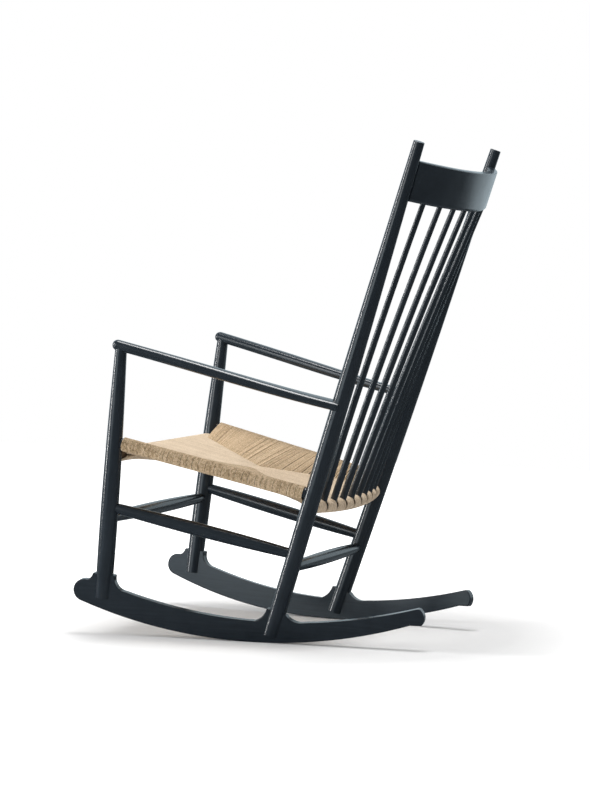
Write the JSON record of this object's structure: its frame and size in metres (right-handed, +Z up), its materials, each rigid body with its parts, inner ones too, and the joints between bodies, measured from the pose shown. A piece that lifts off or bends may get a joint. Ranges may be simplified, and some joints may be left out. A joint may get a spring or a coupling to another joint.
{
  "type": "rocking chair",
  "caption": "Wooden rocking chair with turned posts, sloping armrests, a spindle back under a curved crest rail, and a seat woven from paper cord.",
  "frame": {"origin": "on the floor, under the middle of the whole chair's box", "axes": "+X towards the sitter's left, -Y the way the sitter faces, +Z up"},
  "size_m": [0.6278, 0.8304, 1.0811],
  "materials": {
    "lacquered_wood": "satin",
    "paper_cord": "matte"
  },
  "bodies": {
    "root": {"rocker_left": "lacquered_wood", "rocker_right": "lacquered_wood", "armrest_left": "lacquered_wood", "armrest_right": "lacquered_wood", "crest_rail": "lacquered_wood", "front_post_left": "lacquered_wood", "front_post_right": "lacquered_wood", "rear_post_left": "lacquered_wood", "rear_post_right": "lacquered_wood", "side_stretcher_left": "lacquered_wood", "side_stretcher_right": "lacquered_wood", "front_stretcher": "lacquered_wood", "rear_stretcher": "lacquered_wood", "front_seat_rail": "lacquered_wood", "rear_seat_rail": "lacquered_wood", "side_seat_rail_left": "lacquered_wood", "side_seat_rail_right": "lacquered_wood", "spindle_1": "lacquered_wood", "spindle_2": "lacquered_wood", "spindle_3": "lacquered_wood", "spindle_4": "lacquered_wood", "spindle_5": "lacquered_wood", "spindle_6": "lacquered_wood", "spindle_7": "lacquered_wood", "spindle_8": "lacquered_wood", "woven_seat": "paper_cord"}
  },
  "joints": []
}
